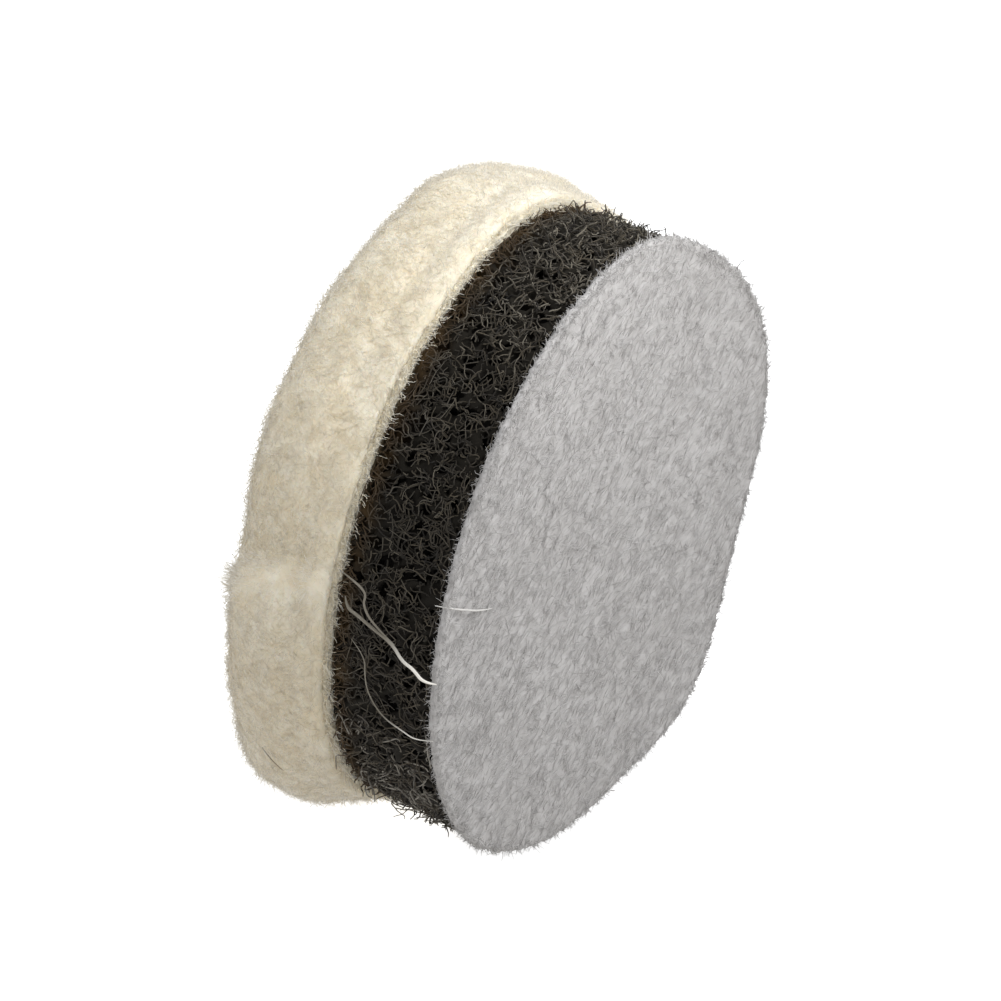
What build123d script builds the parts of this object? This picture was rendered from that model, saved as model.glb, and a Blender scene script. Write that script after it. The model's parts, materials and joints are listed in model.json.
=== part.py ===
from build123d import *
import os

# A small round polishing pad, built as a stack of bonded layers: a brushed loop fabric that grips a
# hook-faced backing plate, a springy foam core, and a felted wool face on its own woven ground cloth.
#
# The pad turns about +Y. The origin is the centre of the loop face, where the backing plate seats,
# and the layers stack from there along +Y, so that the wool face is the last one. +Z is up.
# All sizes are in millimetres.

# The punched outline that the loop fabric, the foam and the ground cloth share.
PAD_DIAMETER = 30.0

# How thick each layer is, from the loop face to the wool face.
LOOP_FABRIC_THICKNESS = 0.3
BOND_FILM_THICKNESS = 0.1
FOAM_THICKNESS = 5.2
GROUND_CLOTH_THICKNESS = 0.4
WOOL_THICKNESS = 5.2

# The glue stops short of the edge, so that none is squeezed out over the fabric.
BOND_FILM_INSET = 0.4

# The brushed fabric is sheared round at the edge of its loop face.
LOOP_EDGE_RADIUS = 0.12

# The wool is not held at its tips, so its side bulges past the cloth and rounds into the face.
WOOL_BULGE = 0.5
WOOL_BULGE_SHARE = 0.45
WOOL_TIP_INSET = 0.15
WOOL_FACE_EDGE_RADIUS = 1.6

PAD_RADIUS = PAD_DIAMETER / 2

# Where each layer starts along +Y.
LOOP_FABRIC_START = 0.0
LOOP_BOND_START = LOOP_FABRIC_START + LOOP_FABRIC_THICKNESS
FOAM_START = LOOP_BOND_START + BOND_FILM_THICKNESS
WOOL_BOND_START = FOAM_START + FOAM_THICKNESS
GROUND_CLOTH_START = WOOL_BOND_START + BOND_FILM_THICKNESS
WOOL_START = GROUND_CLOTH_START + GROUND_CLOTH_THICKNESS
WOOL_END = WOOL_START + WOOL_THICKNESS


def layer(radius, thickness, start):
    """A plain disc about the Y axis, from start to start + thickness."""
    towards_wool = Plane((0, start, 0), x_dir=(1, 0, 0), z_dir=(0, 1, 0))
    return extrude(towards_wool * Circle(radius), thickness)


def loop_fabric():
    """Brushed loop fabric, with the rim of its loop face rounded."""
    disc = layer(PAD_RADIUS, LOOP_FABRIC_THICKNESS, LOOP_FABRIC_START)
    loop_rim = disc.edges().sort_by(Axis.Y)[0]
    return fillet(loop_rim, min(LOOP_EDGE_RADIUS, LOOP_FABRIC_THICKNESS / 2))


def bond_film(start):
    """One film of contact glue between two layers."""
    return layer(PAD_RADIUS - BOND_FILM_INSET, BOND_FILM_THICKNESS, start)


def foam_core():
    """Open-cell foam, punched straight through."""
    return layer(PAD_RADIUS, FOAM_THICKNESS, FOAM_START)


def ground_cloth():
    """Woven cloth that holds the roots of the wool."""
    return layer(PAD_RADIUS, GROUND_CLOTH_THICKNESS, GROUND_CLOTH_START)


def wool_face():
    """Felted wool: a bulging side, rounded into a flat face. It is turned from half its section."""
    root = (PAD_RADIUS, WOOL_START)
    bulge = (PAD_RADIUS + WOOL_BULGE, WOOL_START + WOOL_BULGE_SHARE * WOOL_THICKNESS)
    tip = (PAD_RADIUS + WOOL_BULGE - WOOL_TIP_INSET, WOOL_END)
    outline = [
        Line((0, WOOL_START), root),
        ThreePointArc(root, bulge, tip),
        Line(tip, (0, WOOL_END)),
        Line((0, WOOL_END), (0, WOOL_START)),
    ]
    body = revolve(make_face(outline), Axis.Y)
    face_rim = body.edges().sort_by(Axis.Y)[-1]
    return fillet(face_rim, min(WOOL_FACE_EDGE_RADIUS, WOOL_THICKNESS / 3))


def write_parts():
    """Writes one STEP file for each layer. The file's name is the layer's name."""
    layers = {
        "loop_fabric": loop_fabric(),
        "loop_bond_film": bond_film(LOOP_BOND_START),
        "foam_core": foam_core(),
        "wool_bond_film": bond_film(WOOL_BOND_START),
        "ground_cloth": ground_cloth(),
        "wool_face": wool_face(),
    }
    os.makedirs("parts", exist_ok=True)
    for name, solid in layers.items():
        export_step(solid, f"parts/{name}.step")


write_parts()
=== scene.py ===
import json
import math
import bpy
from mathutils import Matrix, Vector, noise

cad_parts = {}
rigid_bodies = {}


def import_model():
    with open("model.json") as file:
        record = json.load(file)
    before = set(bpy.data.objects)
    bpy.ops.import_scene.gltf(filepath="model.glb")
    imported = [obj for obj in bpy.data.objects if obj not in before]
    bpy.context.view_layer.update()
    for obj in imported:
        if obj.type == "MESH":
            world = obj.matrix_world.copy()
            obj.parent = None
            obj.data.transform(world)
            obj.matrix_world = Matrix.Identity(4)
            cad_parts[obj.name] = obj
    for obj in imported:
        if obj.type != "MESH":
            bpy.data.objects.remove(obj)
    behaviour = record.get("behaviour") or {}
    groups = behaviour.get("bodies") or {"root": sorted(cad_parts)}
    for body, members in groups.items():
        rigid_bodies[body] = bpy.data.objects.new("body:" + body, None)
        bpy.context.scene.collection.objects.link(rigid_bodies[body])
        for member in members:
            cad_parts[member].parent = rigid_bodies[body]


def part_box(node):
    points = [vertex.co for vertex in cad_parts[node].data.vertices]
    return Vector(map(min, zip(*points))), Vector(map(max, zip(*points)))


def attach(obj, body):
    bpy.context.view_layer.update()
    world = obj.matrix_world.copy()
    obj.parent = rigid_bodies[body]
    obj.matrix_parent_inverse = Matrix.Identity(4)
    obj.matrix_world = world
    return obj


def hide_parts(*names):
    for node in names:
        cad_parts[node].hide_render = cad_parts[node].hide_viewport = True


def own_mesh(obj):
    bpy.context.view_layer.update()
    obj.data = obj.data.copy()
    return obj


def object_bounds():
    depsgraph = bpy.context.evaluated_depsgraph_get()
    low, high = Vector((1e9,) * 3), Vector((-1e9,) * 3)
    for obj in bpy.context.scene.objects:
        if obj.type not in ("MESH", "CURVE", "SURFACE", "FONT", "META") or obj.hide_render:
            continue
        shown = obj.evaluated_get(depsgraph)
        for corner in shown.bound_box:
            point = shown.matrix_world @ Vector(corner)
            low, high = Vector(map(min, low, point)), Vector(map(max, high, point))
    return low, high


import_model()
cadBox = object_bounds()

mm = 0.001
bpy.ops.object.select_all(action="DESELECT")


def paint(red, green, blue):
    # screen colour, 0 to 255, as the light values that shaders use
    return tuple(c / 3294.6 if c <= 10.31 else ((c / 255 + 0.055) / 1.055) ** 2.4 for c in (red, green, blue))


class Wire:
    # a node's output, which takes part in sums
    def __init__(self, tree, socket):
        self.tree, self.socket = tree, socket

    def out(self, name):
        return Wire(self.tree, self.socket.node.outputs[name])

    def sum(self, how, a, b=0.0):
        return self.tree.add("ShaderNodeMath", {"operation": how}, {0: a, 1: b})

    def __add__(self, b):
        return self.sum("ADD", self, b)

    def __radd__(self, b):
        return self.sum("ADD", b, self)

    def __sub__(self, b):
        return self.sum("SUBTRACT", self, b)

    def __rsub__(self, b):
        return self.sum("SUBTRACT", b, self)

    def __mul__(self, b):
        return self.sum("MULTIPLY", self, b)

    def __rmul__(self, b):
        return self.sum("MULTIPLY", b, self)

    def __truediv__(self, b):
        return self.sum("DIVIDE", self, b)

    def __pow__(self, b):
        return self.sum("POWER", self, b)

    def least(self, b):
        return self.sum("MINIMUM", self, b)

    def most(self, b):
        return self.sum("MAXIMUM", self, b)

    def floor(self):
        return self.sum("FLOOR", self)

    def rest(self, b):
        return self.sum("FLOORED_MODULO", self, b)

    def between(self, low, high):
        # 0 below low, 1 above high, smooth in between
        return self.tree.add("ShaderNodeMapRange", {"interpolation_type": "SMOOTHSTEP"},
                             {"Value": self, "From Min": low, "From Max": high})


class Nodes:
    def __init__(self, tree):
        self.tree = tree

    def add(self, kind, settings=None, values=None, out=None):
        made = self.tree.nodes.new(kind)
        for name, value in (settings or {}).items():
            setattr(made, name, value)
        for name, value in (values or {}).items():
            socket = made.inputs[name]
            if isinstance(value, Wire):
                self.tree.links.new(value.socket, socket)
            elif hasattr(socket, "default_value"):
                if socket.type == "RGBA" and len(value) == 3:
                    value = (*value, 1.0)
                socket.default_value = value
        shown = [s for s in made.outputs if s.enabled] or list(made.outputs) or [None]
        return Wire(self, shown[0] if out is None else made.outputs[out])

    def mix(self, share, a, b):
        return self.add("ShaderNodeMix", {"data_type": "RGBA"}, {0: share, 6: a, 7: b}, 2)

    def vector(self, how, a, b=(0, 0, 0), scale=1.0):
        values = {0: a, 3: scale} if how == "SCALE" else {0: a, 1: b}
        return self.add("ShaderNodeVectorMath", {"operation": how}, values)

    def cloud(self, place, size, detail=2.0, rough=0.5):
        # soft blotches about as wide as size, in metres
        values = {"Vector": place, "Scale": 1 / size, "Detail": detail, "Roughness": rough}
        return self.add("ShaderNodeTexNoise", None, values, "Fac")

    def part(self, place, letter):
        # one coordinate of a place
        return self.add("ShaderNodeSeparateXYZ", None, {0: place}, letter)


class Finish(Nodes):
    def __init__(self, name, roughness=0.9, **fixed):
        self.material = bpy.data.materials.new(name)
        self.material.use_nodes = True
        super().__init__(self.material.node_tree)
        self.shader = self.tree.nodes["Principled BSDF"]
        self.shader.inputs["Roughness"].default_value = roughness
        self.shader.inputs["Specular IOR Level"].default_value = fixed.pop("shine", 0.2)
        for name, value in fixed.items():
            self.shader.inputs[name.replace("_", " ")].default_value = value
        self.place = self.add("ShaderNodeTexCoord", None, None, "Object")

    def feed(self, name, wire):
        self.tree.links.new(wire.socket, self.shader.inputs[name])

    def bump(self, height, depth, strength=1.0):
        values = {"Height": height, "Distance": depth, "Strength": strength}
        self.feed("Normal", self.add("ShaderNodeBump", None, values))

    def stretched(self, spin, stretch):
        values = {"Vector": self.place, "Rotation": spin, "Scale": stretch}
        return self.add("ShaderNodeMapping", None, values)


fibreTones = {"own": 0.65, "drift": 0.7, "darker": 0.17}


def fibreFinish(name, dark, light, patchSize=2.5 * mm, roughness=0.85, stain=None, rarity=1.0, **fixed):
    # each fibre has a tone of its own, and the tones drift over the piece
    # a rarity over 1 leaves fewer fibres that are light
    f = Finish(name, roughness, **{"Sheen_Weight": 0.1, "Sheen_Roughness": 0.6, **fixed})
    tone = f.add("ShaderNodeAttribute", {"attribute_name": "tone"}, None, "Fac")
    drift = f.cloud(f.place, patchSize)
    tone = tone ** rarity * fibreTones["own"] + drift * fibreTones["drift"] - fibreTones["darker"]
    colour = f.mix(tone, dark, light)
    if stain:
        share = f.part(f.place, "Y").between(*stain["between"]) * stain["share"]
        colour = f.mix(share, colour, stain["colour"])
    f.feed("Base Color", colour)
    return f.material


# light sinks a little way into the wool
softWool = {"Subsurface_Weight": 0.6, "Subsurface_Radius": (1.0, 0.85, 0.65), "Subsurface_Scale": 0.5 * mm}

# the layers were punched as one, a little out of round
# each swelling is (where in degrees, rise as a share of the radius, width in degrees)
padCut = [(-55, 0.092, 15), (-84, -0.022, 16), (-25, -0.018, 13), (8, 0.034, 20), (50, -0.024, 15),
          (87, 0.026, 22), (158, -0.012, 22), (-112, -0.02, 20)]
foamCut = [*padCut, (-122, -0.03, 20), (57, -0.018, 16)]  # the foam is cut back a little at its foot
middleCut = [*padCut, (-122, -0.068, 22), (57, -0.014, 16)]  # and more where it meets the wool
woolCut = [(-55, 0.06, 20), (97, 0.03, 32), (140, 0.052, 23), (163, -0.03, 7), (175, 0.038, 8),
           (192, 0.012, 9), (213, 0.05, 14), (244, -0.052, 16)]
raggedSize = 0.5 * mm  # how far apart the nicks in a ragged cut are


def angleOf(p):
    return math.degrees(math.atan2(p.z, p.x))


def radiusOf(p):
    return math.hypot(p.x, p.z)


def swelling(degrees, middle, width):
    # 1 at the middle angle, and fading to nothing on both sides of it
    away = (degrees - middle + 180) % 360 - 180
    return math.exp(-(away / width) ** 2)


def outline(degrees, cut):
    share = 1.0
    for middle, rise, width in cut:
        share += rise * swelling(degrees, middle, width)
    return share


def nearRim(p, radius, cut, share):
    return 1.0 if radiusOf(p) > share * radius * outline(angleOf(p), cut) else 0.0


def cutToShape(piece, cut, far=None, start=0.0, end=1.0, ragged=0.0):
    # moves each point out or in, so that a round piece follows the hand-cut outline
    # the outline turns into the far one on the way from start to end
    for v in piece.data.vertices:
        x, y, z = v.co
        angle = angleOf(v.co)
        share = outline(angle, cut)
        if far:
            part = min(max((y - start) / (end - start), 0), 1)
            share += (outline(angle, far) - share) * part * part * (3 - 2 * part)
        share += ragged * noise.noise(v.co / raggedSize)
        v.co = (x * share, y, z * share)
    piece.data.update()


def activate(piece):
    bpy.ops.object.select_all(action="DESELECT")
    piece.select_set(True)
    bpy.context.view_layer.objects.active = piece
    return piece


def applyAll(piece):
    activate(piece)
    for m in list(piece.modifiers):
        bpy.ops.object.modifier_apply(modifier=m.name)
    return piece


def turnedDisc(name, rings, around=96):
    # rings are (place along the axis, radius), from the loop face towards the wool
    bpy.ops.object.select_all(action="DESELECT")
    (start, radius), *rest = rings
    bpy.ops.mesh.primitive_circle_add(vertices=around, radius=radius, fill_type="NGON",
                                      location=(0, start, 0), rotation=(math.pi / 2, 0, 0))
    piece = bpy.context.object
    piece.name = name
    bpy.ops.object.transform_apply(location=True, rotation=True, scale=True)
    bpy.ops.object.mode_set(mode="EDIT")
    bpy.ops.mesh.select_all(action="SELECT")
    at, wide = start, radius
    for y, r in rest:
        bpy.ops.mesh.extrude_region_move(TRANSFORM_OT_translate={"value": (0, y - at, 0)})
        bpy.ops.transform.resize(value=(r / wide, 1, r / wide), center_override=(0, y, 0))
        at, wide = y, r
    bpy.ops.mesh.select_all(action="SELECT")
    bpy.ops.mesh.normals_make_consistent(inside=False)
    bpy.ops.object.mode_set(mode="OBJECT")
    return piece


def remesh(piece, size):
    m = piece.modifiers.new("even", "REMESH")
    m.mode, m.voxel_size, m.use_smooth_shade = "VOXEL", size, True
    return applyAll(piece)


def relief(piece, size, depth, detail=1):
    # raises and sinks the surface in soft lumps about as wide as size
    t = bpy.data.textures.new(f"{piece.name}Lumps", "CLOUDS")
    t.noise_scale, t.noise_depth = size, detail
    m = piece.modifiers.new("lumps", "DISPLACE")
    m.texture, m.strength, m.mid_level, m.texture_coords = t, depth, 0.5, "LOCAL"
    return applyAll(piece)


def smoothed(piece):
    activate(piece)
    bpy.ops.object.shade_smooth()
    return piece


def weigh(piece, name, rule):
    # marks where fibres grow, from 0 to 1
    mark = piece.data.attributes.new(name, "FLOAT", "POINT")
    mark.data.foreach_set("value", [rule(v.co) for v in piece.data.vertices])


def newGroup(name):
    group = bpy.data.node_groups.new(name, "GeometryNodeTree")
    for way in ("INPUT", "OUTPUT"):
        group.interface.new_socket("Geometry", in_out=way, socket_type="NodeSocketGeometry")
    return group


def closeGroup(group, wire):
    last = group.nodes.new("NodeGroupOutput")
    group.links.new(wire.socket, last.inputs[0])


fibreSides = 3
fibreMap = {"along": 0.8, "around": 1.1, "margin": 0.1}  # how a fibre fills its own square of the map


def growFibres(name, host, mark, s, material, lean=(0, 0, 0)):
    # fibres rooted on the marked part of a piece, each one a thin tapered tube that bends as it grows
    group = newGroup(name)
    n = Nodes(group)
    seed = s["seed"]
    shell = n.add("NodeGroupInput")
    where = n.add("GeometryNodeInputNamedAttribute", {"data_type": "FLOAT"}, {"Name": mark})
    roots = n.add("GeometryNodeDistributePointsOnFaces", None,
                  {"Mesh": shell, "Density": where * (s["perSquareMm"] * 1e6), "Seed": seed}, "Points")
    chance = n.add("FunctionNodeRandomValue", {"data_type": "FLOAT"}, {2: 0.0, 3: 1.0, "Seed": seed + 1}, 1)
    roots = n.add("GeometryNodeStoreNamedAttribute", {"data_type": "FLOAT", "domain": "POINT"},
                  {"Geometry": roots, "Name": "tone", "Value": chance})
    normal = n.add("GeometryNodeInputNamedAttribute", {"data_type": "FLOAT_VECTOR"}, {"Name": "grain"})
    anyway = n.add("FunctionNodeRandomValue", {"data_type": "FLOAT_VECTOR"},
                   {0: (-1, -1, -1), 1: (1, 1, 1), "Seed": seed + 2}, 0)
    off = n.add("ShaderNodeVectorMath", {"operation": "DOT_PRODUCT"}, {0: anyway, 1: normal}, "Value")
    flat = n.vector("SUBTRACT", anyway, n.vector("SCALE", normal, scale=off))
    upwards = n.vector("SCALE", normal, scale=s["rise"])
    sideways = n.vector("SCALE", flat, scale=s["spread"])
    stray = n.vector("SCALE", anyway, scale=s.get("stray", 0.0))
    heading = n.vector("ADD", n.vector("ADD", n.vector("ADD", upwards, sideways), stray), lean)
    turn = n.add("FunctionNodeAlignRotationToVector", {"axis": "Z"}, {"Vector": heading})
    long = n.add("FunctionNodeRandomValue", {"data_type": "FLOAT"},
                 {2: s["length"][0], 3: s["length"][1], "Seed": seed + 3}, 1)
    line = n.add("GeometryNodeCurvePrimitiveLine", None, {"Start": (0, 0, 0), "End": (0, 0, 1)})
    line = n.add("GeometryNodeResampleCurve", None, {"Curve": line, "Count": s["joints"] + 1})
    hairs = n.add("GeometryNodeInstanceOnPoints", None,
                  {"Points": roots, "Instance": line, "Rotation": turn,
                   "Scale": n.add("ShaderNodeCombineXYZ", None, {"X": 1.0, "Y": 1.0, "Z": long})})
    hairs = n.add("GeometryNodeRealizeInstances", None, {"Geometry": hairs})
    along = n.add("GeometryNodeSplineParameter", None, None, "Factor")
    own = n.add("GeometryNodeInputNamedAttribute", {"data_type": "FLOAT"}, {"Name": "tone"})
    drift = n.add("ShaderNodeTexNoise", {"noise_dimensions": "4D"},
                  {"Vector": n.add("GeometryNodeInputPosition"), "W": own * 40.0, "Scale": 1 / s["curlSize"],
                   "Detail": s.get("kinks", 1.0)}, "Color")
    bend = n.vector("SCALE", n.vector("SUBTRACT", drift, (0.5, 0.5, 0.5)), scale=along * (2 * s["curl"]))
    lift = n.add("ShaderNodeVectorMath", {"operation": "DOT_PRODUCT"}, {0: bend, 1: normal}, "Value")
    bend = n.vector("SUBTRACT", bend, n.vector("SCALE", normal, scale=lift * s.get("cling", 0.0)))
    hairs = n.add("GeometryNodeSetPosition", None, {"Geometry": hairs, "Offset": bend})
    if "within" in s:
        at = n.part(n.add("GeometryNodeInputPosition"), "X")
        kept = at.out("Y").most(s["within"][0]).least(s["within"][1])
        held = n.add("ShaderNodeCombineXYZ", None, {"X": at, "Y": kept, "Z": at.out("Z")})
        hairs = n.add("GeometryNodeSetPosition", None, {"Geometry": hairs, "Position": held})
    count = n.add("GeometryNodeInputIndex")
    hairs = n.add("GeometryNodeStoreNamedAttribute", {"data_type": "FLOAT", "domain": "CURVE"},
                  {"Geometry": hairs, "Name": "which", "Value": count})
    hairs = n.add("GeometryNodeStoreNamedAttribute", {"data_type": "FLOAT", "domain": "POINT"},
                  {"Geometry": hairs, "Name": "along", "Value": along})
    thin = (1 - along * along * (1 - s.get("tip", 0.3))) * (s["thick"] / 2)
    rim = n.add("GeometryNodeCurvePrimitiveCircle", {"mode": "RADIUS"},
                {"Resolution": fibreSides, "Radius": 1.0}, "Curve")
    rim = n.add("GeometryNodeStoreNamedAttribute", {"data_type": "FLOAT", "domain": "POINT"},
                {"Geometry": rim, "Name": "around", "Value": count / float(fibreSides)})
    mesh = n.add("GeometryNodeCurveToMesh", None, {"Curve": hairs, "Profile Curve": rim, "Scale": thin})

    def read(word):
        return n.add("GeometryNodeInputNamedAttribute", {"data_type": "FLOAT"}, {"Name": word})
    # each fibre has a small square of the map to itself
    side = math.ceil(math.sqrt(s["most"]))
    across = (read("which") + 0.5).rest(float(side)).floor() + read("along") * fibreMap["along"]
    up = ((read("which") + 0.5) / float(side)).floor() + read("around") * fibreMap["around"]
    across = (across + fibreMap["margin"]) / float(side)
    up = (up + fibreMap["margin"]) / float(side)
    spot = n.add("ShaderNodeCombineXYZ", None, {"X": across, "Y": up})
    mesh = n.add("GeometryNodeStoreNamedAttribute", {"data_type": "FLOAT2", "domain": "CORNER"},
                 {"Geometry": mesh, "Name": "OFBake", "Value": spot})
    mesh = n.add("GeometryNodeSetMaterial", None, {"Geometry": mesh, "Material": material})
    closeGroup(group, mesh)

    # the fibres grow on a copy, which keeps the direction that each spot faces
    piece = host.copy()
    piece.data = host.data.copy()
    piece.name = name
    bpy.context.scene.collection.objects.link(piece)
    facing = piece.data.attributes.new("grain", "FLOAT_VECTOR", "POINT")
    faces = [v.co * Vector((1, 0, 1)) if s.get("outward") else v.normal for v in piece.data.vertices]
    facing.data.foreach_set("vector", [c for way in faces for c in way.normalized()])
    piece.modifiers.new("fibres", "NODES").node_group = group
    applyAll(piece)
    for word in ("which", "along", "around", "grain"):
        if word in piece.data.attributes:
            piece.data.attributes.remove(piece.data.attributes[word])
    piece.data.materials.clear()
    piece.data.materials.append(material)
    print(f"{name}: {len(piece.data.polygons) // (fibreSides * s['joints'])} fibres")
    return piece


print("camera and studio")
studio = {
    "aim": (-1.33 * mm, 4.63 * mm, 1.69 * mm), "azimuth": -60.8, "elevation": 33.1, "roll": 2.56,
    "lens": 800.0, "acrossView": 46.14 * mm,
    "skyLow": (0.86, 0.84, 0.81), "skyHigh": (0.98, 1, 1.03), "worldLight": 0.82,
    "floorSize": 3.0, "floorColour": (0.93, 0.93, 0.93, 1), "floorGlow": 0.85,
}
softboxes = {
    "topLight": {"place": (-0.01, -0.035, 0.11), "towards": (0, 0.003, 0), "size": 0.11, "power": 0.016},
    "frontLight": {"place": (0.009, -0.024, 0.041), "towards": (0, 0, 0), "size": 0.022, "power": 0.0125},
}
az, el, roll = (math.radians(studio[k]) for k in ("azimuth", "elevation", "roll"))
back = Vector((math.sin(az) * math.cos(el), -math.cos(az) * math.cos(el), math.sin(el)))
level = Vector((math.cos(az), math.sin(az), 0))
upward = back.cross(level)
right = level * math.cos(roll) + upward * math.sin(roll)
upward = back.cross(right)
bpy.ops.object.camera_add()
camera = bpy.context.object
camera.data.lens = studio["lens"]
away = studio["acrossView"] * studio["lens"] / camera.data.sensor_width
facing = Matrix((right, upward, back)).transposed().to_4x4()
camera.matrix_world = Matrix.Translation(Vector(studio["aim"]) + back * away) @ facing
bpy.context.scene.camera = camera
bpy.context.scene.view_settings.view_transform = "Standard"

world = bpy.data.worlds.new("studio")
bpy.context.scene.world = world
world.use_nodes = True
w = Nodes(world.node_tree)
height = w.part(w.add("ShaderNodeTexCoord", None, None, "Generated"), "Z")
sky = w.mix(height.between(-0.5, 0.7), studio["skyLow"], studio["skyHigh"])
glow = w.tree.nodes["Background"]
glow.inputs["Strength"].default_value = studio["worldLight"]
w.tree.links.new(sky.socket, glow.inputs["Color"])


def softbox(name, place, towards, size, power):
    bpy.ops.object.light_add(type="AREA", location=place)
    lamp = bpy.context.object
    lamp.name = name
    lamp.data.shape, lamp.data.size = "DISK", size
    lamp.data.energy = power
    lamp.rotation_euler = (Vector(place) - Vector(towards)).to_track_quat("Z", "Y").to_euler()


for name, settings in softboxes.items():
    softbox(name, **settings)

bpy.ops.object.select_all(action="DESELECT")
bpy.ops.mesh.primitive_plane_add(size=studio["floorSize"], location=(0, 0, cadBox[0][2]))
floor = bpy.context.object
floor.name = "floor"
bpy.ops.object.transform_apply(location=True, rotation=True, scale=True)
floorFinish = Finish("paleFloor", 0.9, shine=0.1)
floorFinish.shader.inputs["Base Color"].default_value = studio["floorColour"]
floorFinish.shader.inputs["Emission Color"].default_value = (1, 1, 1, 1)
floorFinish.shader.inputs["Emission Strength"].default_value = studio["floorGlow"]
floor.data.materials.append(floorFinish.material)
floor.visible_diffuse = False  # so the floor doesn't light the pad from below

print("loop fabric")
loopLow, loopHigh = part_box("loop_fabric")
loopCloth = {
    "even": 0.15 * mm, "rim": 0.12 * mm,
    "lumps": (0.55 * mm, 0.05 * mm), "waves": (4.0 * mm, 0.06 * mm), "ragged": 0.007,
    "light": paint(198, 196, 195), "dark": paint(166, 163, 161), "speck": paint(126, 122, 120),
}
loopNapFibres = {"perSquareMm": 22, "length": (0.3 * mm, 0.8 * mm), "thick": 0.03 * mm, "joints": 2,
                 "rise": 0.09, "spread": 0.55, "curl": 0.1 * mm, "curlSize": 0.5 * mm, "tip": 0.4,
                 "most": 20000, "seed": 11}
loopFuzzFibres = {"perSquareMm": 60, "length": (0.12 * mm, 0.42 * mm), "thick": 0.042 * mm, "joints": 4,
                  "rise": 0.18, "spread": 0.7, "curl": 0.35 * mm, "curlSize": 0.4 * mm, "tip": 0.3,
                  "most": 6400, "seed": 21}
radius, y0, y1 = loopHigh.x, loopLow.y, loopHigh.y
edge = loopCloth["rim"]
loopFabric = turnedDisc("loopFabric", [(y0, radius - edge), (y0 + 0.3 * edge, radius - 0.28 * edge),
                                       (y0 + edge, radius), (y1, radius - 0.3 * edge)], 160)
remesh(loopFabric, loopCloth["even"])
relief(loopFabric, *loopCloth["waves"])
relief(loopFabric, *loopCloth["lumps"])
cutToShape(loopFabric, padCut, ragged=loopCloth["ragged"])

f = Finish("brushedLoop", 0.95, Sheen_Weight=0.25, Sheen_Roughness=0.5, shine=0.15)
grain = f.cloud(f.stretched((0, math.radians(6), 0), (0.28, 1, 1)), 0.28 * mm, 3, 0.6)
lumps = f.cloud(f.place, 0.75 * mm, 2, 0.55)
fade = f.cloud(f.place, 6 * mm, 1)
light = (grain * 0.5 + lumps * 0.55 + fade * 0.25 - 0.15).between(0.2, 0.8)
colour = f.mix(light, loopCloth["dark"], loopCloth["light"])
speck = f.cloud(f.place, 0.5 * mm, 1).between(0.70, 0.78)
f.feed("Base Color", f.mix(speck * 0.6, colour, loopCloth["speck"]))
f.feed("Roughness", 0.88 + lumps * 0.12)
f.bump(grain * 0.6 + lumps, 0.12 * mm, 0.7)
loopFabric.data.materials.append(f.material)
smoothed(loopFabric)

weigh(loopFabric, "face", lambda p: 1.0 if p.y < y0 + 0.1 * mm else 0.0)
weigh(loopFabric, "rim", lambda p: nearRim(p, radius, padCut, 0.975))
napFinish = fibreFinish("loopNapFibre", paint(167, 164, 162), paint(201, 199, 198))
# the rim's frayed fibres are coloured lighter than the nap, as a painted highlight along the edge
rimFinish = fibreFinish("loopRimFibre", paint(176, 173, 171), paint(214, 212, 210), Alpha=0.7)
loopNap = growFibres("loopNap", loopFabric, "face", loopNapFibres, napFinish, lean=(0.45, 0, 0.16))
loopFuzz = growFibres("loopFuzz", loopFabric, "rim", loopFuzzFibres, rimFinish)

print("foam")
foamLow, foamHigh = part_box("foam_core")
foam = {
    "cell": 0.78 * mm, "wall": 0.15, "window": 0.46, "voxel": 0.195 * mm, "depth": 1.1 * mm,
    "wobble": 0.55 * mm, "ragged": 0.9 * mm, "skinDepth": 0.3 * mm,
    "deep": paint(12, 10, 8), "outer": paint(36, 33, 27), "brown": paint(80, 62, 38),
}


def foamColour(f, outerEdge, innerEdge):
    # darker deeper in and lighter towards the outer edge: painted shade in the hollows between the cells and
    # painted light on the outermost struts
    part = f.part(f.place, "X")
    x, y, z = part, part.out("Y"), part.out("Z")
    radius = (x * x + z * z) ** 0.5
    paintedLight = radius.between(innerEdge, outerEdge)
    patch = f.cloud(f.place, 0.9 * mm, 2, 0.6)
    base = f.mix(paintedLight * (0.25 + patch * 0.75), foam["deep"], foam["outer"])
    stain = y.between(foamHigh.y - 1.5 * mm, foamHigh.y) * f.cloud(f.place, 1.6 * mm, 2).between(0.3, 0.7)
    return f.mix(stain * 0.8, base, foam["brown"])


coreRadius = foamHigh.x - foam["depth"]
core = turnedDisc("foamInside", [(foamLow.y, coreRadius), (foamHigh.y, coreRadius)])
remesh(core, 0.3 * mm)
relief(core, 0.8 * mm, 0.5 * mm)
cutToShape(core, foamCut, middleCut, foamLow.y, foamHigh.y)
f = Finish("foamDeep", 0.95, shine=0.1)
# the foam colour, with its painted shade deeper in and painted light towards the outside
f.feed("Base Color", foamColour(f, foamHigh.x, foamHigh.x - 2 * foam["depth"]))
f.bump(f.cloud(f.place, 0.4 * mm, 3, 0.6), 0.2 * mm)
core.data.materials.append(f.material)
smoothed(core)

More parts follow.
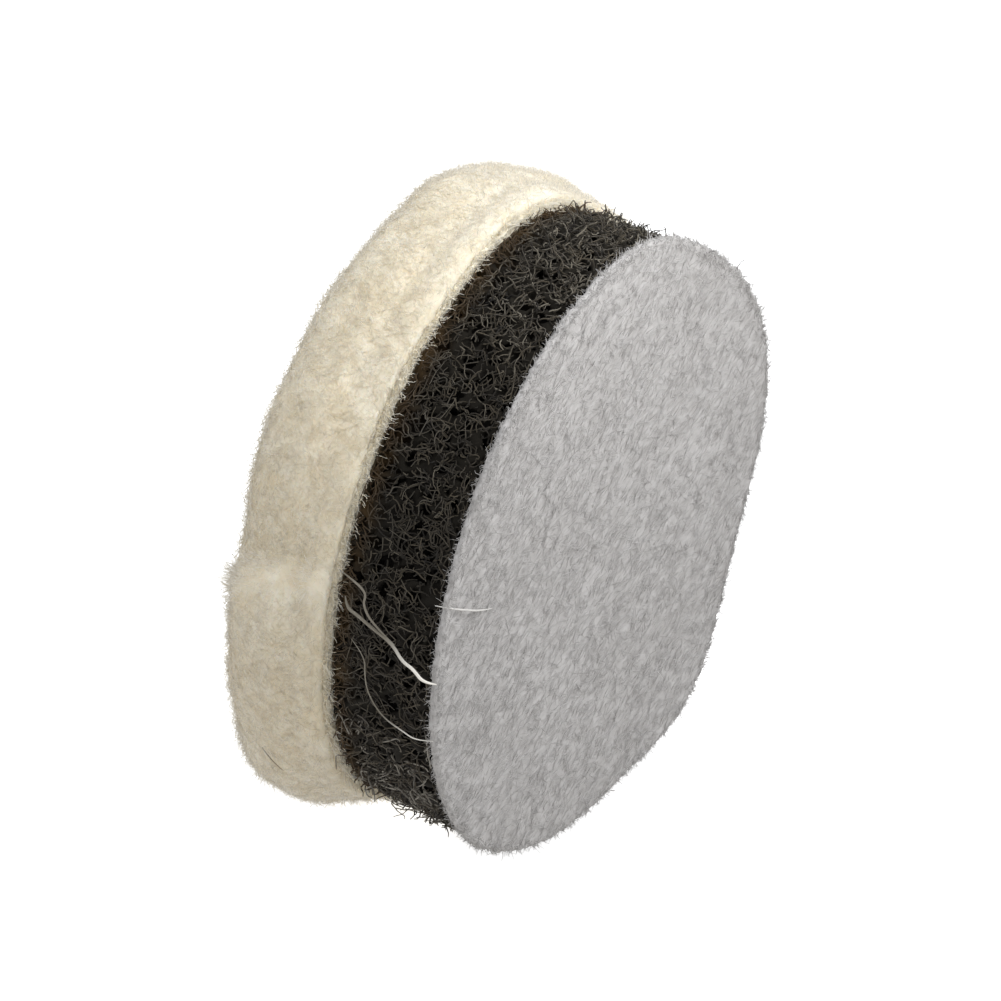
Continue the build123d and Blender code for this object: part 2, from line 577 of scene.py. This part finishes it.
# the open cells: a field that is over 1 in the struts, inside a ring at the cut side, turned into a surface
group = newGroup("openCells")
n = Nodes(group)
here = n.add("GeometryNodeInputPosition")
wobble = n.add("ShaderNodeTexNoise", None, {"Vector": here, "Scale": 1 / (0.7 * mm), "Detail": 1.0}, "Color")
wobble = n.vector("SUBTRACT", wobble, (0.5, 0.5, 0.5))
bent = n.vector("ADD", here, n.vector("SCALE", wobble, scale=foam["wobble"]))
pattern = {"Vector": bent, "Scale": 1 / foam["cell"]}
toWall = n.add("ShaderNodeTexVoronoi", {"feature": "DISTANCE_TO_EDGE"}, pattern)
toMiddle = n.add("ShaderNodeTexVoronoi", {"feature": "F1"}, pattern, "Distance")
part = n.part(here, "X")
ragged = n.cloud(here, 0.45 * mm, 1.0) * foam["ragged"]
radius = (part * part + part.out("Z") * part.out("Z")) ** 0.5 + ragged - 0.25 * mm
solid = ((foam["wall"] - toWall) * 4).least((toMiddle - foam["window"]) * 3)
outside = (foamHigh.x - radius) / foam["cell"]
inside = (radius - (foamHigh.x - foam["depth"] - 0.2 * mm)) / foam["cell"]
ends = ((part.out("Y") - foamLow.y) / foam["cell"]).least((foamHigh.y - part.out("Y")) / foam["cell"])
solid = solid.least(outside.least(inside)).least(ends).most(-1.0) + 1.0
margin = 0.3 * mm
span = 2 * foamHigh.x + 2 * margin
tall = foamHigh.y - foamLow.y + 2 * margin
box = n.add("GeometryNodeVolumeCube", None, {
    "Density": solid, "Background": 0.0,
    "Min": (-span / 2, foamLow.y - margin, -span / 2),
    "Max": (span / 2, foamHigh.y + margin, span / 2),
    "Resolution X": int(span / foam["voxel"]), "Resolution Z": int(span / foam["voxel"]),
    "Resolution Y": int(tall / foam["voxel"])})
cells = n.add("GeometryNodeVolumeToMesh", None, {"Volume": box, "Threshold": 1.0})
closeGroup(group, n.add("GeometryNodeSetShadeSmooth", None, {"Geometry": cells}))
bpy.ops.object.select_all(action="DESELECT")
bpy.ops.mesh.primitive_cube_add(size=span)
foamCells = bpy.context.object
foamCells.name = "foamCells"
foamCells.modifiers.new("cells", "NODES").node_group = group
applyAll(foamCells)
print(f"foamCells: {len(foamCells.data.polygons)} faces")
cutToShape(foamCells, foamCut, middleCut, foamLow.y, foamHigh.y)
f = Finish("foamStrut", 0.85, shine=0.12)
# the foam colour, with its painted shade deeper in and painted light towards the outside
f.feed("Base Color", foamColour(f, foamHigh.x - 0.1 * mm, foamHigh.x - foam["depth"]))
f.bump(f.cloud(f.place, 0.25 * mm, 2, 0.6), 0.05 * mm)
foamCells.data.materials.clear()
foamCells.data.materials.append(f.material)

# loose ends on the foam's cut side: short dark ones all over, longer ones, curls at the foot coloured pale as
# painted light from below, and ends at the top coloured lighter as painted light from above
foamEnds = {"rise": 0.12, "spread": 1.0, "curlSize": 0.8 * mm, "kinks": 0.0, "tip": 0.6, "joints": 12,
            "outward": True, "within": (foamLow.y + 0.08 * mm, foamHigh.y - 0.12 * mm)}
foamShortEnds = {**foamEnds, "perSquareMm": 10.5, "length": (0.45 * mm, 0.95 * mm), "thick": 0.085 * mm,
                 "joints": 6, "rise": 0.2, "spread": 0.75, "curl": 0.6 * mm, "curlSize": 0.5 * mm,
                 "cling": 0.4, "tip": 0.5, "most": 7200, "seed": 31}
foamLongEnds = {**foamEnds, "perSquareMm": 2.2, "length": (0.7 * mm, 1.7 * mm), "thick": 0.066 * mm,
                "curl": 1.3 * mm, "kinks": 0.5, "cling": 0.8, "most": 2500, "seed": 41}
foamCurlEnds = {**foamEnds, "perSquareMm": 3.2, "length": (0.8 * mm, 1.8 * mm), "thick": 0.095 * mm,
                "curl": 2.4 * mm, "cling": 0.9, "most": 1600, "seed": 46}
foamTopEnds = {**foamShortEnds, "perSquareMm": 6.5, "length": (0.35 * mm, 0.8 * mm), "thick": 0.08 * mm,
               "rise": 0.22, "curl": 0.5 * mm, "cling": 0.5, "most": 1600, "seed": 36}
skinRadius = foamHigh.x - foam["skinDepth"]
skin = turnedDisc("foamSkin", [(foamLow.y, skinRadius), (foamHigh.y, skinRadius)], 160)
remesh(skin, 0.3 * mm)
cutToShape(skin, foamCut, middleCut, foamLow.y, foamHigh.y)


def onCutSide(p, clear=0.05 * mm):
    # clear of the foam's two flat ends
    return radiusOf(p) > foamHigh.x - 1.0 * mm and foamLow.y + clear < p.y < foamHigh.y - clear


weigh(skin, "side", lambda p: 1.0 if onCutSide(p) else 0.0)
weigh(skin, "foot", lambda p: swelling(angleOf(p), 208, 12) if onCutSide(p) else 0.0)
weigh(skin, "top", lambda p: swelling(angleOf(p), 92, 24) if onCutSide(p) else 0.0)
stain = {"between": (foamHigh.y - 1.2 * mm, foamHigh.y - 0.3 * mm), "share": 0.8, "colour": foam["brown"]}
darkFibre = fibreFinish("foamDarkFibre", paint(15, 12, 9), paint(92, 84, 70), 1.0 * mm, 0.75, stain, 2.0,
                        Sheen_Weight=0.05)
greyFibre = fibreFinish("foamGreyFibre", paint(44, 39, 32), paint(108, 101, 88), 1.6 * mm, 0.8, stain)
# lighter than the other foam fibres: painted light from above on the top of the pad
topPaintedLightFibre = fibreFinish("foamTopPaintedLightFibre", paint(60, 55, 46), paint(136, 129, 115), 1.0 * mm, 0.8, stain)
# pale: painted light from below on the curls at the foot
footPaintedLightFibre = fibreFinish("foamFootPaintedLightFibre", paint(74, 69, 61), paint(160, 154, 143), 1.6 * mm, 0.8)
foamShort = growFibres("foamShortFibres", skin, "side", foamShortEnds, darkFibre)
foamLong = growFibres("foamLongFibres", skin, "side", foamLongEnds, greyFibre)
foamCurls = growFibres("foamCurlsAtTheFoot", skin, "foot", foamCurlEnds, footPaintedLightFibre)
foamTop = growFibres("foamEndsAtTheTop", skin, "top", foamTopEnds, topPaintedLightFibre)
bpy.data.objects.remove(skin)

print("ground cloth")
clothLow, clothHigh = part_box("ground_cloth")
cloth = {"light": paint(255, 249, 230), "dark": paint(240, 226, 194), "thread": 0.32 * mm}
frayFibres = {"perSquareMm": 95, "length": (0.25 * mm, 0.75 * mm), "thick": 0.05 * mm, "joints": 4,
              "rise": 0.25, "spread": 0.7, "stray": 0.1, "curl": 0.4 * mm, "curlSize": 0.5 * mm, "tip": 0.4,
              "most": 9000, "seed": 51, "outward": True}
rings = [(clothLow.y, clothHigh.x - 0.05 * mm), ((clothLow.y + clothHigh.y) / 2, clothHigh.x + 0.05 * mm),
         (clothHigh.y, clothHigh.x + 0.02 * mm)]
groundCloth = turnedDisc("groundCloth", rings, 160)
remesh(groundCloth, 0.2 * mm)
relief(groundCloth, 0.5 * mm, 0.1 * mm)
cutToShape(groundCloth, middleCut)
f = Finish("wovenGround", 0.9, Sheen_Weight=0.2, shine=0.15)
# a wave is about 0.314 m wide at scale 1
thread = {"Vector": f.place, "Scale": 0.314 / cloth["thread"], "Distortion": 0.6}
warp = f.add("ShaderNodeTexWave", {"bands_direction": "X"}, thread, "Fac")
weft = f.add("ShaderNodeTexWave", {"bands_direction": "Z"}, thread, "Fac")
weave = warp.most(weft)
f.feed("Base Color", f.mix(weave * 0.7 + f.cloud(f.place, 0.6 * mm) * 0.3, cloth["dark"], cloth["light"]))
f.bump(weave, 0.08 * mm)
groundCloth.data.materials.append(f.material)
smoothed(groundCloth)
weigh(groundCloth, "edge", lambda p: nearRim(p, clothHigh.x, middleCut, 0.985))
frayFinish = fibreFinish("frayedThread", paint(246, 231, 196), paint(255, 249, 228), **softWool)
clothFray = growFibres("clothFray", groundCloth, "edge", frayFibres, frayFinish, lean=(0, -0.08, 0))

print("wool")
woolLow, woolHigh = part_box("wool_face")
wool = {
    "root": 15.38 * mm, "bulge": 15.4 * mm, "faceEdge": 1.7 * mm, "even": 0.25 * mm, "ragged": 0.003,
    "light": paint(241, 234, 216), "dark": paint(227, 215, 188),
    "warm": paint(228, 212, 180), "pale": paint(252, 249, 241),
}
woolSideFibres = {"perSquareMm": 30, "length": (0.45 * mm, 1.2 * mm), "thick": 0.02 * mm, "joints": 2,
                  "rise": 0.08, "spread": 0.9, "curl": 0.15 * mm, "curlSize": 0.6 * mm, "tip": 0.3,
                  "most": 16000, "seed": 61}
woolFuzzFibres = {"perSquareMm": 16, "length": (0.25 * mm, 0.75 * mm), "thick": 0.013 * mm, "joints": 3,
                  "rise": 0.6, "spread": 0.7, "curl": 0.3 * mm, "curlSize": 0.7 * mm, "tip": 0.2,
                  "most": 9500, "seed": 71}
woolFaceFibres = {"perSquareMm": 21, "length": (0.4 * mm, 1.0 * mm), "thick": 0.03 * mm, "joints": 2,
                  "rise": 0.2, "spread": 0.9, "curl": 0.2 * mm, "curlSize": 0.5 * mm, "tip": 0.3,
                  "most": 20000, "seed": 81}
y0, y1 = woolLow.y, woolHigh.y
rings = [(y0 - 0.2 * mm, wool["root"]), (y0 + 0.5 * mm, wool["root"] + 0.2 * mm),
         (y0 + 1.3 * mm, wool["bulge"] - 0.12 * mm), (y0 + 2.3 * mm, wool["bulge"])]
edge = wool["faceEdge"]
for step in range(7):
    turn = math.radians(15 * step)
    rings.append((y1 - edge + edge * math.sin(turn), wool["bulge"] - 0.1 * mm - edge * (1 - math.cos(turn))))
woolBody = turnedDisc("woolBody", rings, 128)
remesh(woolBody, wool["even"])
relief(woolBody, 5 * mm, 0.45 * mm)
relief(woolBody, 0.9 * mm, 0.08 * mm, detail=2)
cutToShape(woolBody, middleCut, woolCut, y0, y0 + 2.2 * mm, wool["ragged"])
f = Finish("feltedWool", 0.95, Sheen_Weight=0.3, Sheen_Roughness=0.6, shine=0.1, **softWool)
lumps = f.cloud(f.place, 0.8 * mm, 3, 0.6)
broad = f.cloud(f.place, 4 * mm, 2)
colour = f.mix((lumps * 0.6 + broad * 0.5 - 0.05).between(0.25, 0.75), wool["dark"], wool["light"])
f.feed("Base Color", f.mix(f.cloud(f.place, 1.3 * mm, 1).between(0.55, 0.75) * 0.4, colour, wool["warm"]))
f.bump(lumps + f.cloud(f.place, 0.2 * mm, 2) * 0.4, 0.12 * mm, 0.7)
woolBody.data.materials.append(f.material)
smoothed(woolBody)


def onWoolSide(p):
    return 1.0 if radiusOf(p) > 14.2 * mm and y0 - 0.1 * mm < p.y < y1 - 0.3 * mm else 0.0


weigh(woolBody, "side", onWoolSide)
weigh(woolBody, "front", lambda p: 1.0 if p.y > y1 - 0.9 * mm else 0.0)
woolFinish = fibreFinish("woolFibre", paint(230, 219, 193), paint(243, 236, 219), 2.2 * mm, **softWool)
fuzzFinish = fibreFinish("woolFuzzFibre", paint(240, 231, 210), paint(253, 249, 240), 2.2 * mm, Alpha=0.45)
woolSide = growFibres("woolSideNap", woolBody, "side", woolSideFibres, woolFinish)
woolFuzz = growFibres("woolFuzz", woolBody, "side", woolFuzzFibres, fuzzFinish)
woolFront = growFibres("woolFaceNap", woolBody, "front", woolFaceFibres, woolFinish)

# a crease runs across the side, where the wool has parted; paler fibres grow along it
crease = {"from": 166.0, "turn": 6.5, "width": 2.6, "lift": 0.012}
partingFibres = {"perSquareMm": 70, "length": (0.4 * mm, 1.1 * mm), "thick": 0.026 * mm, "joints": 4,
                 "rise": 0.14, "spread": 0.5, "curl": 0.25 * mm, "curlSize": 0.6 * mm, "tip": 0.3,
                 "most": 4000, "seed": 91}


def onCrease(p):
    part = (p.y - y0) / (y1 - y0)
    away = angleOf(p) % 360 - crease["from"] - crease["turn"] * max(part, 0) ** 3
    return math.exp(-(away / crease["width"]) ** 2) if radiusOf(p) > 13.6 * mm and away < 20 else 0.0


weigh(woolBody, "parting", onCrease)
paleFinish = fibreFinish("paleWoolFibre", paint(236, 228, 212), wool["pale"])
woolParting = growFibres("woolParting", woolBody, "parting", partingFibres, paleFinish, lean=(0, 0.5, 0))
for v, strength in zip(woolBody.data.vertices, [onCrease(v.co) for v in woolBody.data.vertices]):
    v.co.x *= 1 + crease["lift"] * strength
    v.co.z *= 1 + crease["lift"] * strength


def strand(name, points, thick, material):
    # points are (angle round the pad, place along the axis, distance from the axis), in degrees and mm
    line = bpy.data.curves.new(name, "CURVE")
    line.dimensions, line.resolution_u = "3D", 6
    line.bevel_depth, line.bevel_resolution = thick / 2, 1
    path = line.splines.new("NURBS")
    path.points.add(len(points) - 1)
    for spot, (angle, along, out) in zip(path.points, points):
        a = math.radians(angle)
        spot.co = (out * mm * math.cos(a), along * mm, out * mm * math.sin(a), 1)
    path.order_u, path.use_endpoint_u = 3, True
    path.points[0].radius = path.points[-1].radius = 0.3
    piece = bpy.data.objects.new(name, line)
    bpy.context.scene.collection.objects.link(piece)
    activate(piece)
    bpy.ops.object.convert(target="MESH")
    piece.data.materials.append(material)
    return smoothed(piece)


print("loose strands")
strands = {
    "thick": 0.17 * mm, "middling": 0.12 * mm, "thin": 0.07 * mm, "hair": 0.06 * mm, "faint": 0.1 * mm,
    "bright": paint(240, 236, 227), "dull": paint(122, 116, 104),
    "first": [(166.2, 5.0, 15.2), (167.6, 4.7, 15.5), (168.1, 4.1, 15.55), (169.4, 3.4, 15.5),
              (171, 2.1, 15.55), (173.6, 1.5, 15.55), (174.4, 0.9, 15.5), (176.6, 0.4, 15.4),
              (176.7, -0.15, 15.1)],
    "second": [(161.8, 5.5, 15.3), (162.6, 4.5, 15.5), (164, 3.8, 15.5), (166, 3.9, 15.55),
               (168.8, 3.2, 15.6), (171.2, 2, 15.5)],
    "loop": [(173.6, 4.4, 15.2), (175.4, 3.5, 15.4), (179, 3.4, 15.5), (182.4, 3.2, 15.5),
             (186.6, 2.5, 15.4), (188.2, 1.4, 15.4), (189.6, 0.8, 15.3), (189.1, 0, 15.1)],
    "stray": [(162.4, 0.5, 15.1), (162.6, -0.15, 14.6), (164.2, -0.2, 13), (166, -0.15, 11.6),
              (167.2, -0.1, 10.4)],
    "dark": [(201.5, 8.9, 16.2), (203.8, 8.45, 16.35), (206.2, 8.0, 16.25)],
}
f = Finish("looseWool", 0.6, shine=0.3)
dullness = f.part(f.place, "Y").between(0.7 * mm, 2.6 * mm) * (0.75 + f.cloud(f.place, 0.5 * mm) * 0.5)
f.feed("Base Color", f.mix(dullness, strands["bright"], strands["dull"]))
f.bump(f.cloud(f.place, 0.08 * mm, 1), 0.01 * mm)
looseWool = [strand("looseStrandFirst", strands["first"], strands["thick"], f.material),
             strand("looseStrandSecond", strands["second"], strands["middling"], f.material),
             strand("looseStrandLoop", strands["loop"], strands["thin"], f.material)]
f = Finish("paleHair", 0.7)
f.feed("Base Color", f.mix(f.cloud(f.place, 0.5 * mm), paint(196, 194, 191), paint(220, 218, 214)))
looseWool.append(strand("looseStrandOnFace", strands["stray"], strands["faint"], f.material))
f = Finish("darkHair", 0.5)
f.feed("Base Color", f.mix(f.cloud(f.place, 0.5 * mm), paint(70, 60, 46), paint(120, 108, 88)))
darkHair = strand("darkHair", strands["dark"], strands["hair"], f.material)

print("bond films")
f = Finish("driedGlue", 0.45)
f.feed("Base Color", f.mix(f.cloud(f.place, 1.2 * mm, 3), paint(58, 50, 38), paint(112, 100, 78)))
f.bump(f.cloud(f.place, 0.4 * mm, 2), 0.04 * mm)
films = []
for name, node, cut in (("loopBondFilm", "loop_bond_film", foamCut),
                        ("woolBondFilm", "wool_bond_film", middleCut)):
    low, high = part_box(node)
    thick = high.y - low.y
    rings = [(low.y, high.x - thick / 2), (low.y + thick / 2, high.x), (high.y, high.x - thick / 2)]
    film = turnedDisc(name, rings, 160)
    cutToShape(film, cut, ragged=0.006)
    film.data.materials.append(f.material)
    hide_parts(node)
    films.append(film)

print("placing")
foamPieces = [core, foamCells, foamShort, foamLong, foamCurls, foamTop]
woolNap = [woolSide, woolFuzz, woolFront, woolParting]
for piece, node in ((loopFabric, "loop_fabric"), (core, "foam_core"), (groundCloth, "ground_cloth"),
                    (woolBody, "wool_face")):
    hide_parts(node)
for piece in (loopFabric, loopNap, loopFuzz, films[0], *foamPieces, *looseWool):
    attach(piece, "backing")
for piece in (groundCloth, clothFray, woolBody, *woolNap, darkHair, films[1]):
    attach(piece, "wool_pad")
for piece in (*foamPieces, *looseWool):
    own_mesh(piece)

total = 0
for piece in bpy.context.scene.objects:
    if piece.type == "MESH" and piece.name != "floor":
        faces = sum(len(p.vertices) - 2 for p in piece.data.polygons)
        total += faces
        print(f"{piece.name}: {faces} triangles")
print(f"whole pad: {total} triangles")
